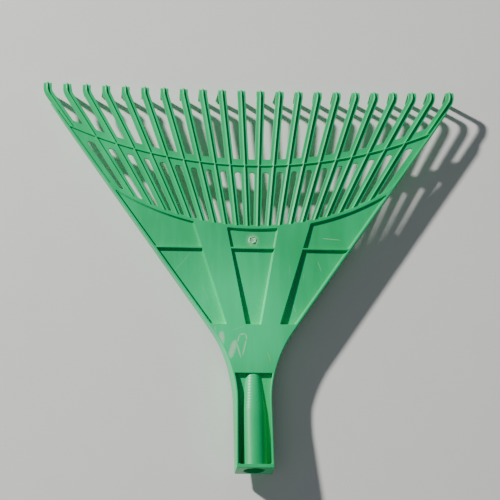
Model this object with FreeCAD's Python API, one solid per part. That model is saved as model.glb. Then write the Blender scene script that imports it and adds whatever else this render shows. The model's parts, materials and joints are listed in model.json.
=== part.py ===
import FreeCAD, Part
import math
import os

# Head of a 22-tine plastic leaf rake, one green moulding with an empty handle socket.
# Millimetres. It is drawn in fan coordinates: the tine roots point away from the hub
# at (0, 0), +Y runs to the tine tips, and z = 0 is the face that the rib tops, the
# straps and the neck share. save() then moves the origin to the socket's mouth centre.

V = FreeCAD.Vector

# ---- tines
TINES_PER_SIDE = 11
TIP_PITCH = 24.0
ROOT_ANGLES = [1.75, 5.5, 9.2, 12.8, 16.4, 19.9, 23.0, 25.9, 28.7, 31.5, 34.12]
ROOT_WIDTH_AT_ARC = 9.0
ROOT_WIDTH_AT_BAR = 10.4
EDGE_ROOT_WIDTH = 6.6
BLADE_WIDTH = 10.0
BLADE_TURN_Y = 371.5
BLADE_TURN_RADIUS = 17.0
BEND_START_Y = 374.6
TIP_LINE_RISE = 4.3
BEND_ANGLE = 95.0
BEND_INNER_RADIUS = 2.5
CLAW_LENGTH = 29.0
CLAW_END_WIDTH = 7.6
CLAW_CORNER_RADIUS = 2.5
CLAW_RIB_LENGTH = 25.0
CLAW_RIB_HEIGHT = 1.5

# ---- sections
SHEET_TOP = -2.0
SHEET_BOTTOM = -4.2
RIB_WIDTH = 1.9
PLATE = 2.5

# ---- flexing root of each free tine
HINGE_CLEARANCE = 1.2
HINGE_Z = -2.1
RELIEF_ANGLE = 13.5
RELIEF_HALF_WIDTH = 40.0
HINGE_REACH = 15.0
HINGE_BLOCK_HALF_WIDTH = 60.0

# ---- crossbar
BAR_CENTRE_Y = 837.0
BAR_RADIUS = 558.0
BAR_HALF_WIDTH = 8.5

# ---- base arc
ARC_CENTRE_Y = 517.0
ARC_SLOT_RADIUS = 314.0
ARC_RIB_RADIUS = 315.6
ARC_PANEL_RADIUS = 319.4
ARC_BOTTOM = -5.5
ARC_SHARE = 0.72

# ---- plate behind the tines: three sunk panels between two raised straps
PLATE_START_Y = 79.0
PANEL_DEPTH_AT_ARC = 3.0
PANEL_DEPTH_AT_NECK = 6.2
STRAP_INNER = [(9.1, 79.0), (31.0, 199.1)]
STRAP_OUTER = [(32.0, 79.0), (71.4, 205.7)]
STRAP_WEB = 2.2
CROSS_RIB_Y = 173.5
CROSS_RIB_WIDTH = 2.2
GATE_Y = 184.2
GATE_RADIUS = 5.0
GATE_TOP_RADIUS = 3.9
GATE_HEIGHT = 1.0
GATE_SINK = 0.3

# ---- side wall: socket side, concave neck, straight rail along the fan
WALL = 2.4
WALL_DRAFT = 3.5
RAIL_START = (52.0, 79.0)
RAIL_END = (224.5, 324.0)
SOCKET_HALF_WIDTH = 20.0
MOUTH_HALF_WIDTH = 21.0
NECK_TANGENT = 46.0
NECK_END_Y = 20.0
RIM_DEPTH_AT_NECK = 14.0
RIM_DEPTH_AT_BAR = 9.0
RIM_FADE_START_Y = 346.0
RIM_FADE_Y = 356.0

# ---- handle socket, pitched up away from the fan
SOCKET_PITCH = 6.0
SOCKET_LENGTH = 114.0
SOCKET_DEPTH = 31.5
TUBE_RADIUS = 15.5
BORE_RADIUS = 12.5
TUBE_STRAIGHT = 71.0
NOSE_RADIUS = 10.2
NOSE_PAST_NECK = 3.0
NOSE_RISE = 4.2
WEB_RISE = 9.0
BORE_END_RADIUS = 5.5
BORE_TAPER = 38.0
END_WALL = 4.5

# ---- sizes only used to overshoot a cut
BIG = 700.0
TALL = 60.0
OVERSHOOT = 10.0
RELIEF_OVERSHOOT = 0.5
PANEL_FAR_Y = 270.0
ARC_FAR_Y = 280.0
BAR_BAND_Y = (250.0, 360.0)
ROOT_DRAWN_FROM = 100.0
EDGE_ROOT_DRAWN_FROM = 200.0
STUB_BACK = 12.0
WALL_BLANK_TOP = 20.0
WALL_BLANK_BOTTOM = -40.0


# ---- plain building blocks

def prism(points, z_low, z_high):
    """Upright prism over a polygon of (x, y) points."""
    corners = [V(x, y, z_low) for x, y in points]
    face = Part.Face(Part.makePolygon(corners + corners[:1]))
    return face.extrude(V(0, 0, z_high - z_low))


def disc(centre_y, radius, z_low=-TALL, z_high=TALL):
    return Part.makeCylinder(radius, z_high - z_low, V(0, centre_y, z_low))


def side_profile(points, half_width=BIG):
    """Prism along X over a polygon of (y, z) points."""
    corners = [V(-half_width, y, z) for y, z in points]
    face = Part.Face(Part.makePolygon(corners + corners[:1]))
    return face.extrude(V(2 * half_width, 0, 0))


def slab(y_low, y_high, z_low, z_high):
    """Block right across the part, between two heights."""
    return side_profile([(y_low, z_low), (y_high, z_low), (y_high, z_high), (y_low, z_high)])


def between_y(y_low, y_high):
    return slab(y_low, y_high, -TALL, TALL)


def fuse(solids):
    return solids[0].multiFuse(solids[1:]).removeSplitter() if len(solids) > 1 else solids[0]


def mirrored(shape):
    return shape.mirror(V(0, 0, 0), V(1, 0, 0))


def unit(start, end):
    length = math.hypot(end[0] - start[0], end[1] - start[1])
    return ((end[0] - start[0]) / length, (end[1] - start[1]) / length)


def strip(start, end, half_start, half_end, z_low, z_high):
    """Straight flat strip between two plan points, with a half width at each end."""
    ux, uy = unit(start, end)
    left_start = (start[0] - uy * half_start, start[1] + ux * half_start)
    left_end = (end[0] - uy * half_end, end[1] + ux * half_end)
    right_end = (end[0] + uy * half_end, end[1] - ux * half_end)
    right_start = (start[0] + uy * half_start, start[1] - ux * half_start)
    return prism([left_start, left_end, right_end, right_start], z_low, z_high)


# ---- lines that everything hangs on (right-hand side, x > 0)

def bar_crossing(k):
    """Where root k's centre line meets the crossbar's centre line."""
    angle = math.radians(ROOT_ANGLES[k])
    sin_a, cos_a = math.sin(angle), math.cos(angle)
    half = BAR_CENTRE_Y * cos_a
    reach = half - math.sqrt(half ** 2 - BAR_CENTRE_Y ** 2 + BAR_RADIUS ** 2)
    return (reach * sin_a, reach * cos_a)


def blade_turn(k):
    """Corner of the turn that brings blade k to point straight along +Y."""
    return ((k + 0.5) * TIP_PITCH, BLADE_TURN_Y)


def bend_start(k):
    """Where blade k starts to bend down. The tips lie on a shallow curve, not a line."""
    return BEND_START_Y + TIP_LINE_RISE * ((k + 0.5) / (TINES_PER_SIDE - 0.5)) ** 2


def blade_direction(k):
    return unit(bar_crossing(k), blade_turn(k))


def hinge_distance(k):
    """How far along blade k the whole of its width is clear of the slanting crossbar."""
    ux, uy = blade_direction(k)
    square_x, square_y = unit(bar_crossing(k), (0.0, BAR_CENTRE_Y))
    along = ux * square_x + uy * square_y
    across = math.sqrt(1 - along ** 2)
    return (BAR_HALF_WIDTH + HINGE_CLEARANCE + BLADE_WIDTH / 2 * across) / along


def hinge_point(k):
    x, y = bar_crossing(k)
    ux, uy = blade_direction(k)
    return (x + ux * hinge_distance(k), y + uy * hinge_distance(k))


def rail_offset(point, distance):
    """A point moved square off the rail's centre line, outward if positive."""
    ux, uy = unit(RAIL_START, RAIL_END)
    return (point[0] + uy * distance, point[1] - ux * distance)


def rail_at(y):
    ux, uy = unit(RAIL_START, RAIL_END)
    return (RAIL_START[0] + (y - RAIL_START[1]) * ux / uy, y)


def wall_path(offset, mouth_offset, z, outward):
    """Edges of the side wall's centre line moved by offset, from mouth to rail end."""
    ux, uy = unit(RAIL_START, RAIL_END)
    rail_angle = math.atan2(ux, uy)
    corner_y = RAIL_START[1] - (RAIL_START[0] - SOCKET_HALF_WIDTH) * uy / ux
    radius = NECK_TANGENT / math.tan(rail_angle / 2)
    centre = (SOCKET_HALF_WIDTH + radius, corner_y - NECK_TANGENT)
    r = radius - offset

    def on_arc(angle):
        return V(centre[0] - r * math.cos(angle), centre[1] + r * math.sin(angle), z)

    # the outer face is upright at the mouth and takes up its draft on the way to the neck
    mouth = V(MOUTH_HALF_WIDTH + mouth_offset, NECK_END_Y - SOCKET_LENGTH - OVERSHOOT, z)
    far_end = rail_offset(rail_at(RIM_FADE_Y + 2 * OVERSHOOT), offset)
    points = [mouth, on_arc(0), on_arc(rail_angle), V(far_end[0], far_end[1], z)]
    edges = [Part.makeLine(points[0], points[1]),
             Part.Arc(points[1], on_arc(rail_angle / 2), points[2]).toShape(),
             Part.makeLine(points[2], points[3])]
    return (edges, points) if outward else (edges[::-1], points)


def wall_outline(outer, inner, z):
    outer_edges, outer_points = wall_path(outer, WALL / 2, z, True)
    inner_edges, inner_points = wall_path(inner, inner, z, False)
    far_cap = Part.makeLine(outer_points[-1], inner_points[-1])
    mouth_cap = Part.makeLine(inner_points[0], outer_points[0])
    return Part.Wire(outer_edges + [far_cap] + inner_edges + [mouth_cap])


def wall_blank():
    """The whole drafted side wall before its top and bottom are cut to shape."""
    slope = math.tan(math.radians(WALL_DRAFT))
    upper = wall_outline(WALL / 2 - WALL_BLANK_TOP * slope, -WALL / 2, WALL_BLANK_TOP)
    lower = wall_outline(WALL / 2 - WALL_BLANK_BOTTOM * slope, -WALL / 2, WALL_BLANK_BOTTOM)
    return Part.makeLoft([upper, lower], True, True)


def inside_walls():
    """The space between the two side walls."""
    edges, points = wall_path(-WALL / 2, -WALL / 2, -TALL, True)
    left = [edge.mirror(V(0, 0, 0), V(1, 0, 0)) for edge in edges]
    mouth, far_end = points[0], points[-1]
    near = Part.makeLine(V(-mouth.x, mouth.y, -TALL), mouth)
    far = Part.makeLine(far_end, V(-far_end.x, far_end.y, -TALL))
    outline = Part.Wire(Part.__sortEdges__([near] + edges + [far] + left))
    return Part.Face(outline).extrude(V(0, 0, 2 * TALL))


def pitch(shape):
    """Tilt a socket piece, drawn level behind the neck's end, to the socket's pitch."""
    shape.rotate(V(0, NECK_END_Y, 0), V(1, 0, 0), -SOCKET_PITCH)


def pitched(y, z):
    angle = math.radians(SOCKET_PITCH)
    back = NECK_END_Y - y
    return (NECK_END_Y - back * math.cos(angle) + z * math.sin(angle),
            back * math.sin(angle) + z * math.cos(angle))


def panel_top(y):
    span = STRAP_INNER[1][1] - PLATE_START_Y
    share = (y - PLATE_START_Y) / span
    return -(PANEL_DEPTH_AT_NECK + (PANEL_DEPTH_AT_ARC - PANEL_DEPTH_AT_NECK) * share)


def sloped_slab(over, under):
    """Slab between two planes parallel to the panels' face, over and under it."""
    y_low, y_high = PLATE_START_Y, PANEL_FAR_Y
    return side_profile([(y_low, panel_top(y_low) + under), (y_high, panel_top(y_high) + under),
                         (y_high, panel_top(y_high) + over), (y_low, panel_top(y_low) + over)])


def line_x(line, y):
    (x0, y0), (x1, y1) = line
    return x0 + (x1 - x0) * (y - y0) / (y1 - y0)


def between_lines(left, right, inset=0.0):
    """Upright space between two slanting plan lines, behind the base arc."""
    y_low, y_high = PLATE_START_Y, PANEL_FAR_Y
    corners = [(left(y_low) + inset, y_low), (right(y_low) - inset, y_low),
               (right(y_high) - inset, y_high), (left(y_high) + inset, y_high)]
    return prism(corners, -TALL, TALL).cut(disc(ARC_CENTRE_Y, ARC_PANEL_RADIUS))


# ---- pieces

def side_wall(inside_hinge):
    """Right side wall: the socket-and-neck length and the straight rail."""
    blank = wall_blank()
    mouth_top = pitched(NECK_END_Y - SOCKET_LENGTH, 0)
    mouth_bottom = pitched(NECK_END_Y - SOCKET_LENGTH, -SOCKET_DEPTH)
    neck_bottom = pitched(NECK_END_Y, -SOCKET_DEPTH)
    rear = side_profile([mouth_bottom, neck_bottom, (PLATE_START_Y, -RIM_DEPTH_AT_NECK),
                         (PLATE_START_Y, 0), (NECK_END_Y, 0), mouth_top])
    bar_y = RAIL_END[1]
    front = side_profile([(PLATE_START_Y, -RIM_DEPTH_AT_NECK), (bar_y, -RIM_DEPTH_AT_BAR),
                          (RIM_FADE_Y, SHEET_BOTTOM), (RIM_FADE_Y, SHEET_TOP),
                          (RIM_FADE_START_Y, 0), (PLATE_START_Y, 0)])
    rail = blank.common(front)
    return blank.common(rear), rail.common(inside_hinge), rail.cut(inside_hinge)


def tube_ring(radius, y, z):
    """Round outline of the tube at y, facing along the tube."""
    return Part.Wire(Part.makeCircle(radius, V(0, y, z), V(0, 1, 0)))


def socket_tube():
    """Round tube with a blind bore and a taper whose crest stays near the flush face."""
    mouth = NECK_END_Y - SOCKET_LENGTH
    knee = mouth + TUBE_STRAIGHT
    nose = NECK_END_Y + NOSE_PAST_NECK
    bore_end = knee + BORE_TAPER
    axis_z = -SOCKET_DEPTH / 2
    along_y = V(0, 1, 0)
    straight = Part.makeCylinder(TUBE_RADIUS, TUBE_STRAIGHT, V(0, mouth, axis_z), along_y)
    taper = Part.makeLoft([tube_ring(TUBE_RADIUS, knee, axis_z),
                           tube_ring(NOSE_RADIUS, nose, axis_z + NOSE_RISE)], True, True)
    bore = Part.makeCylinder(BORE_RADIUS, TUBE_STRAIGHT + 1, V(0, mouth - 1, axis_z), along_y)
    bore_taper = Part.makeCone(BORE_RADIUS, BORE_END_RADIUS, bore_end - knee,
                               V(0, knee, axis_z), along_y)
    outside, inside = fuse([straight, taper]), fuse([bore, bore_taper])
    for solid in (outside, inside):
        pitch(solid)
    envelope = outside.cut(between_y(NECK_END_Y, NECK_END_Y + TALL))
    return envelope.cut(inside), envelope


def socket_web(inside, tube_envelope):
    """Flat web beside the tube, at its mid height at the mouth and higher at the neck."""
    start, end = NECK_END_Y - SOCKET_LENGTH + END_WALL, NECK_END_Y + OVERSHOOT
    low = -SOCKET_DEPTH / 2 - PLATE / 2
    high = low + WEB_RISE * (end - start) / (NECK_END_Y - start)
    web = side_profile([(start, low), (end, high), (end, high + PLATE), (start, low + PLATE)])
    pitch(web)
    return web.common(inside).cut(tube_envelope).cut(between_y(NECK_END_Y, NECK_END_Y + TALL))


def socket_end_wall(inside, tube_envelope):
    mouth = NECK_END_Y - SOCKET_LENGTH
    wall = slab(mouth, mouth + END_WALL, -SOCKET_DEPTH, 0)
    pitch(wall)
    return wall.common(inside).cut(tube_envelope)


def neck_plate(inside):
    """Flush plate between the neck walls, with a bulkhead down its socket end."""
    apron_bottom = -PLATE - PANEL_DEPTH_AT_NECK
    blocks = [slab(NECK_END_Y, PLATE_START_Y, -PLATE, 0),
              slab(NECK_END_Y, NECK_END_Y + PLATE, -SOCKET_DEPTH, -PLATE),
              slab(PLATE_START_Y - PLATE, PLATE_START_Y, apron_bottom, -PLATE)]
    return fuse([block.common(inside) for block in blocks])


def strap():
    """Raised strap: a flush top with a web down each edge, hollow underneath."""
    def inner(y):
        return line_x(STRAP_INNER, y)

    def outer(y):
        return line_x(STRAP_OUTER, y)

    whole = between_lines(inner, outer)
    hollow = between_lines(inner, outer, STRAP_WEB)
    top = whole.common(slab(0, BIG, -PLATE, 0))
    under_top = slab(0, BIG, -TALL, -PLATE)
    webs = whole.cut(hollow).common(sloped_slab(TALL, -PLATE)).common(under_top)
    return fuse([top, webs])


def panels(inside):
    """Sunk panels: the middle one with the moulding's gate mark, and one side one."""
    floor = sloped_slab(0, -PLATE)
    middle = between_lines(lambda y: -line_x(STRAP_INNER, y), lambda y: line_x(STRAP_INNER, y))
    middle = middle.common(floor)
    base = V(0, GATE_Y, panel_top(GATE_Y) - GATE_SINK)
    gate = Part.makeCone(GATE_RADIUS, GATE_TOP_RADIUS, GATE_HEIGHT + GATE_SINK, base)
    side = between_lines(lambda y: line_x(STRAP_OUTER, y), lambda y: BIG)
    return fuse([middle, gate]), side.common(floor).common(inside)


def cross_ribs(inside):
    """Three flush ribs across the panels, one in each."""
    half = CROSS_RIB_WIDTH / 2
    band = between_y(CROSS_RIB_Y - half, CROSS_RIB_Y + half)
    above_floor = sloped_slab(TALL, 0).common(slab(0, BIG, -TALL, 0))
    middle = between_lines(lambda y: -line_x(STRAP_INNER, y), lambda y: line_x(STRAP_INNER, y))
    side = between_lines(lambda y: line_x(STRAP_OUTER, y), lambda y: BIG).common(inside)
    side = side.common(band).common(above_floor)
    return Part.makeCompound([mirrored(side), middle.common(band).common(above_floor), side])


def base_arc(inside):
    """Curved band where the roots meet the plate, with its flush rib."""
    def ring(inner_radius, low, high):
        outer = disc(ARC_CENTRE_Y, ARC_PANEL_RADIUS, low, high)
        return outer.cut(disc(ARC_CENTRE_Y, inner_radius))

    band = fuse([ring(ARC_SLOT_RADIUS, SHEET_BOTTOM, SHEET_TOP), ring(ARC_RIB_RADIUS, ARC_BOTTOM, 0)])
    return band.common(inside).common(between_y(PLATE_START_Y, ARC_FAR_Y))


def tine_root(k, inside):
    """Ribbed bar from the base arc to the crossbar. The outermost one has no rib."""
    hub, crossing = (0.0, 0.0), bar_crossing(k)
    ux, uy = unit(hub, crossing)
    start, end = (ROOT_DRAWN_FROM * ux, ROOT_DRAWN_FROM * uy), crossing
    outermost = k == TINES_PER_SIDE - 1
    if outermost:
        low, high = rail_at(EDGE_ROOT_DRAWN_FROM), rail_at(RAIL_END[1] + OVERSHOOT)
        inner_edge = -WALL / 2 - EDGE_ROOT_WIDTH
        bar = prism([low, high, rail_offset(high, inner_edge), rail_offset(low, inner_edge)],
                    SHEET_BOTTOM, SHEET_TOP).common(inside)
    else:
        bar_distance = math.hypot(*crossing)
        arc_distance = bar_distance * ARC_SHARE
        grow = (ROOT_WIDTH_AT_BAR - ROOT_WIDTH_AT_ARC) / (bar_distance - arc_distance)
        half_start = (ROOT_WIDTH_AT_ARC - grow * (arc_distance - ROOT_DRAWN_FROM)) / 2
        sheet = strip(start, end, half_start, ROOT_WIDTH_AT_BAR / 2, SHEET_BOTTOM, SHEET_TOP)
        bar = fuse([sheet, strip(start, end, RIB_WIDTH / 2, RIB_WIDTH / 2, SHEET_TOP, 0)])
    bar = bar.common(disc(ARC_CENTRE_Y, ARC_SLOT_RADIUS))
    return bar.cut(disc(BAR_CENTRE_Y, BAR_RADIUS + BAR_HALF_WIDTH))


def crossbar(inside, inside_hinge):
    """Curved band across all the tines, with its own rib and a stub for every blade."""
    outer = BAR_RADIUS + BAR_HALF_WIDTH
    inner = BAR_RADIUS - BAR_HALF_WIDTH
    band = disc(BAR_CENTRE_Y, outer, SHEET_BOTTOM, SHEET_TOP).cut(disc(BAR_CENTRE_Y, inner))
    rib = disc(BAR_CENTRE_Y, BAR_RADIUS + RIB_WIDTH / 2, SHEET_TOP, 0)
    rib = rib.cut(disc(BAR_CENTRE_Y, BAR_RADIUS - RIB_WIDTH / 2))
    front = between_y(*BAR_BAND_Y)
    solids = [band.common(front).common(inside), rib.common(front).common(inside)]
    for k in range(TINES_PER_SIDE):
        crossing, hinge = bar_crossing(k), hinge_point(k)
        ux, uy = unit((0, 0), crossing)
        half = BLADE_WIDTH / 2
        south = (crossing[0] - STUB_BACK * ux, crossing[1] - STUB_BACK * uy)
        stub = strip(crossing, hinge, half, half, SHEET_BOTTOM, SHEET_TOP)
        stub = fuse([stub, strip(crossing, hinge, RIB_WIDTH / 2, RIB_WIDTH / 2, SHEET_TOP, 0)])
        stub = stub.common(inside).common(inside_hinge) if k == TINES_PER_SIDE - 1 else stub
        pieces = [stub]
        if k < TINES_PER_SIDE - 1:
            root_rib = strip(south, crossing, RIB_WIDTH / 2, RIB_WIDTH / 2, SHEET_TOP, 0)
            pieces.append(root_rib.common(disc(BAR_CENTRE_Y, outer)))
        for piece in pieces:
            solids += [piece, mirrored(piece)]
    return fuse(solids)


def hinge_half_space(k):
    """Block on the hub's side of blade k's hinge plane, around that blade only."""
    hinge, half = hinge_point(k), HINGE_BLOCK_HALF_WIDTH
    ux, uy = blade_direction(k)
    back = (hinge[0] - ux * BIG, hinge[1] - uy * BIG)
    return strip(back, hinge, half, half, -TALL, TALL)


def relief(k):
    """Wedges cut from a blade's root face, so that it can flex both ways."""
    hinge = hinge_point(k)
    ux, uy = blade_direction(k)
    depth = HINGE_REACH * math.tan(math.radians(RELIEF_ANGLE))
    wedges = []
    for sign in (1, -1):
        far_z = HINGE_Z + sign * HINGE_REACH
        corners = [(-RELIEF_OVERSHOOT, HINGE_Z), (0, HINGE_Z), (depth, far_z),
                   (-RELIEF_OVERSHOOT, far_z)]
        points = [V(x, -RELIEF_HALF_WIDTH, z) for x, z in corners]
        face = Part.Face(Part.makePolygon(points + points[:1]))
        wedges.append(face.extrude(V(0, 2 * RELIEF_HALF_WIDTH, 0)))
    wedge = wedges[0].fuse(wedges[1])
    wedge.rotate(V(0, 0, 0), V(0, 0, 1), math.degrees(math.atan2(uy, ux)))
    wedge.translate(V(hinge[0], hinge[1], 0))
    return wedge


def turn_sector(k, half, low, high):
    """The rounded turn of blade k, and the plan points where it starts and ends."""
    x, corner_y = blade_turn(k)
    ux, uy = blade_direction(k)
    angle = math.atan2(ux, uy)
    tangent = BLADE_TURN_RADIUS * math.tan(angle / 2)
    centre = V(x - BLADE_TURN_RADIUS, corner_y + tangent, low)
    degrees = math.degrees(angle)
    up = V(0, 0, 1)
    sector = Part.makeCylinder(BLADE_TURN_RADIUS + half, high - low, centre, up, degrees)
    core = Part.makeCylinder(BLADE_TURN_RADIUS - half, high - low, centre, up, 360)
    sector = sector.cut(core)
    sector.rotate(centre, up, -degrees)
    return sector, (x - tangent * ux, corner_y - tangent * uy), (x, corner_y + tangent)


def last_run(x, start_y, end_y, half, low, high_start, high_end):
    """Straight run between the turn and the bend, whose top may fall on the way."""
    profile = [(start_y, low), (end_y, low), (end_y, high_end), (start_y, high_start)]
    run = side_profile(profile, half)
    run.translate(V(x, 0, 0))
    return run


def tine(k, rail_tail):
    """Free blade with its rib, bent down at the end into a claw."""
    hinge = hinge_point(k)
    x, bend_y = blade_turn(k)[0], bend_start(k)
    axis = V(x, bend_y, SHEET_BOTTOM - BEND_INNER_RADIUS)
    pieces = []
    for is_rib in (False, True):
        half = (RIB_WIDTH if is_rib else BLADE_WIDTH) / 2
        low, high = (SHEET_TOP, 0) if is_rib else (SHEET_BOTTOM, SHEET_TOP)
        bent_high = low + CLAW_RIB_HEIGHT if is_rib else high
        turn, turn_start, turn_end = turn_sector(k, half, low, high)
        blade = strip(hinge, turn_start, half, half, low, high)
        end = last_run(x, turn_end[1], bend_y, half, low, high, bent_high)
        section = Part.makePlane(2 * half, bent_high - low, V(x - half, bend_y, low),
                                 V(0, -1, 0), V(1, 0, 0))
        bend = section.revolve(axis, V(1, 0, 0), -BEND_ANGLE)
        length = CLAW_RIB_LENGTH if is_rib else CLAW_LENGTH
        claw = claw_blank((x, bend_y), half, length, low, bent_high, is_rib)
        claw.rotate(axis, V(1, 0, 0), -BEND_ANGLE)
        pieces += [blade, turn, end, bend, claw]
    whole = fuse(pieces)
    if k == TINES_PER_SIDE - 1:
        whole = fuse([whole, rail_tail])
    return whole.cut(relief(k))


def claw_blank(start, half, length, low, high, is_rib):
    """Flat claw, drawn as a straight run past the bend's start and bent down after."""
    x, start_y = start
    end_y = start_y + length
    half_end = half if is_rib else CLAW_END_WIDTH / 2
    claw = prism([(x - half, start_y), (x + half, start_y), (x + half_end, end_y),
                  (x - half_end, end_y)], low, high)
    if is_rib:
        return claw
    corners = [e for e in claw.Edges if abs(e.CenterOfMass.y - end_y) < 0.01
               and abs(e.CenterOfMass.x - x) > half_end - 0.01]
    return claw.makeFillet(CLAW_CORNER_RADIUS, corners)


# ---- output

def mouth_centre():
    y, z = pitched(NECK_END_Y - SOCKET_LENGTH, -SOCKET_DEPTH / 2)
    return V(0, y, z)


def save(name, shape):
    placed = shape.copy()
    placed.translate(mouth_centre() * -1)
    placed.exportStep("parts/%s.step" % name)
    print("%-18s %2d solid(s) %9.1f mm3 valid %s"
          % (name, len(placed.Solids), placed.Volume, placed.isValid()))


def save_pair(name, right_shape):
    save(name + "_left", mirrored(right_shape))
    save(name + "_right", right_shape)


def main():
    os.makedirs("parts", exist_ok=True)
    inside = inside_walls()
    outer_tine = TINES_PER_SIDE - 1
    inside_hinge = hinge_half_space(outer_tine)

    rear_wall, rail, rail_tail = side_wall(inside_hinge)
    save_pair("side_wall", rear_wall)
    save_pair("side_rail", rail)

    tube, tube_envelope = socket_tube()
    save("socket_tube", tube)
    save("socket_web", socket_web(inside, tube_envelope))
    save("socket_end_wall", socket_end_wall(inside, tube_envelope))

    save("neck_plate", neck_plate(inside))
    save_pair("strap", strap())
    middle_panel, side_panel = panels(inside)
    save("panel_centre", middle_panel)
    save_pair("panel", side_panel)
    save("cross_ribs", cross_ribs(inside))
    save("base_arc", base_arc(inside))
    save("crossbar", crossbar(inside, inside_hinge))

    for k in range(TINES_PER_SIDE):
        left_number = TINES_PER_SIDE - k
        right_number = TINES_PER_SIDE + 1 + k
        root = tine_root(k, inside)
        blade = tine(k, rail_tail)
        save("tine_root_%02d" % left_number, mirrored(root))
        save("tine_root_%02d" % right_number, root)
        save("tine_%02d" % left_number, mirrored(blade))
        save("tine_%02d" % right_number, blade)


main()
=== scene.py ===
import json
import math

import bmesh
import bpy
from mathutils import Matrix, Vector, noise
from mathutils.geometry import tessellate_polygon


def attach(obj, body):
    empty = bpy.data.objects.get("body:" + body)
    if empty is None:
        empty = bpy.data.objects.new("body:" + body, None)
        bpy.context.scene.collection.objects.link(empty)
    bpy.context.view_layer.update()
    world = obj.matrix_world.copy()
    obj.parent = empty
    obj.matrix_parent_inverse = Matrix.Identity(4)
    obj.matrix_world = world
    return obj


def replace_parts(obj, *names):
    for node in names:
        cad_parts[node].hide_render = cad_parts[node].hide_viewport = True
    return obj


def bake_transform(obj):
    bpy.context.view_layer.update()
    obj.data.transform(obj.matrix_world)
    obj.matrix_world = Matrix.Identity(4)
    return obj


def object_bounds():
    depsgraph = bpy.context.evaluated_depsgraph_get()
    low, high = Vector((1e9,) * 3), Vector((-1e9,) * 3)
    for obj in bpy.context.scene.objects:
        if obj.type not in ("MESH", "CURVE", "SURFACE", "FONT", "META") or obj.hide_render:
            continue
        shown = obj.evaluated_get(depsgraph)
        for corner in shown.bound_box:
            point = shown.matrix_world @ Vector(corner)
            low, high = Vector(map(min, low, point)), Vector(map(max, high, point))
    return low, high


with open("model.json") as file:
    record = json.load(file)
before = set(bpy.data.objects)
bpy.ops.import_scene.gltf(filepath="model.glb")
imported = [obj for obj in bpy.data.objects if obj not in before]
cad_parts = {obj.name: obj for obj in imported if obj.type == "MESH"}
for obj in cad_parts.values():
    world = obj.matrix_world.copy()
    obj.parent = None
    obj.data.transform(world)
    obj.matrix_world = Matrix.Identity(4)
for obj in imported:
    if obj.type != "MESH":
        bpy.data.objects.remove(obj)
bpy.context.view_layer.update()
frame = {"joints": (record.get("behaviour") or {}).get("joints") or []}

# Head of a 22-tine plastic leaf rake, one green moulding with an empty handle socket.
# Shapes are worked out in millimetres in the fan's own coordinates: the hub is (0, 0), +Y runs
# to the tine tips, and z = 0 is the face that the rib tops, straps and neck share. row() turns
# a fan point into the frame's metres.

# ---- tines
TINES = 22
TINES_PER_SIDE = 11
TIP_PITCH = 24.0
ROOT_WIDTH_AT_ARC = 9.0
ROOT_WIDTH_AT_BAR = 10.4
ARC_SHARE = 0.72
EDGE_ROOT_WIDTH = 6.6
BLADE_WIDTH = 10.0
BLADE_TURN_Y = 371.5
BLADE_TURN_RADIUS = 17.0
BEND_START_Y = 374.6
TIP_LINE_RISE = 4.3
BEND_ANGLE = 95.0
BEND_INNER_RADIUS = 2.5
CLAW_LENGTH = 28.98  # a hair short of the CAD's 29, so the bent claw stays inside its box
CLAW_END_WIDTH = 7.6
CLAW_CORNER_RADIUS = 2.5
CLAW_RIB_LENGTH = 25.0
CLAW_RIB_HEIGHT = 1.5
CLAW_RIB_FADE_START = 21.5
CLAW_LEAN = {2: 3.0, 4: -2.4, 5: -1.8, 10: -3.0, 11: 2.8, 12: 3.2, 13: -2.4}
BLEND_AFTER = 17.0
BLADE_EMBED = 4.0

# ---- sections
SHEET_TOP = -2.0
SHEET_BOTTOM = -4.2
PLATE = 2.5
RIB_HALF_BASE = 1.15
RIB_HALF_TOP = 0.85
RIB_TOP_ROUND = 0.8
RIB_FOOT = 0.5
RIB_SINK = 0.4
EDGE_ROUND = 0.45
WALL_ROUND = 0.6
CLEAR = 0.04

# ---- crossbar and base arc
BAR_CENTRE_Y = 837.0
BAR_RADIUS = 558.0
BAR_HALF_WIDTH = 8.5
ARC_CENTRE_Y = 517.0
ARC_SLOT_RADIUS = 314.0
ARC_RIB_RADIUS = 315.6
ARC_BURIED_RADIUS = 317.2
ARC_PANEL_RADIUS = 319.4
SLOT_BASE_RADIUS = 1.5
SLOT_BAR_RADIUS = 3.2
NOTCH_RADIUS = 3.4

# ---- plate
PLATE_START_Y = 79.0
PANEL_DEPTH_AT_ARC = 3.0
PANEL_DEPTH_AT_NECK = 6.2
STRAP_INNER = ((9.1, 79.0), (31.0, 199.1))
STRAP_OUTER = ((32.0, 79.0), (71.4, 205.7))
POCKET_WALL = 2.2
POCKET_DRAFT = 0.9
POCKET_CORNER = 1.2
POCKET_FILLET = 0.8
TRAY_LIP_Z = -1.1
FLOOR_HOLDING_RING = 0.5
CROSS_RIB_Y = 173.5
CROSS_RIB_HALF = 1.1
GATE_Y = 184.2
GATE_RADIUS = 5.0
GATE_CROWN_HEIGHT = 0.95
GATE_CROWN_SHARE = 0.74

# ---- side walls
WALL = 2.4
WALL_DRAFT = 3.5
RAIL_START = (52.0, 79.0)
RAIL_END = (224.5, 324.0)
SOCKET_HALF_WIDTH = 20.0
MOUTH_HALF_WIDTH = 21.0
NECK_TANGENT = 46.0
NECK_END_Y = 20.0
RIM_DEPTH_AT_NECK = 14.0
RIM_DEPTH_AT_BAR = 9.0
RIM_FADE_START_Y = 346.0
RIM_FADE_Y = 356.0

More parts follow.
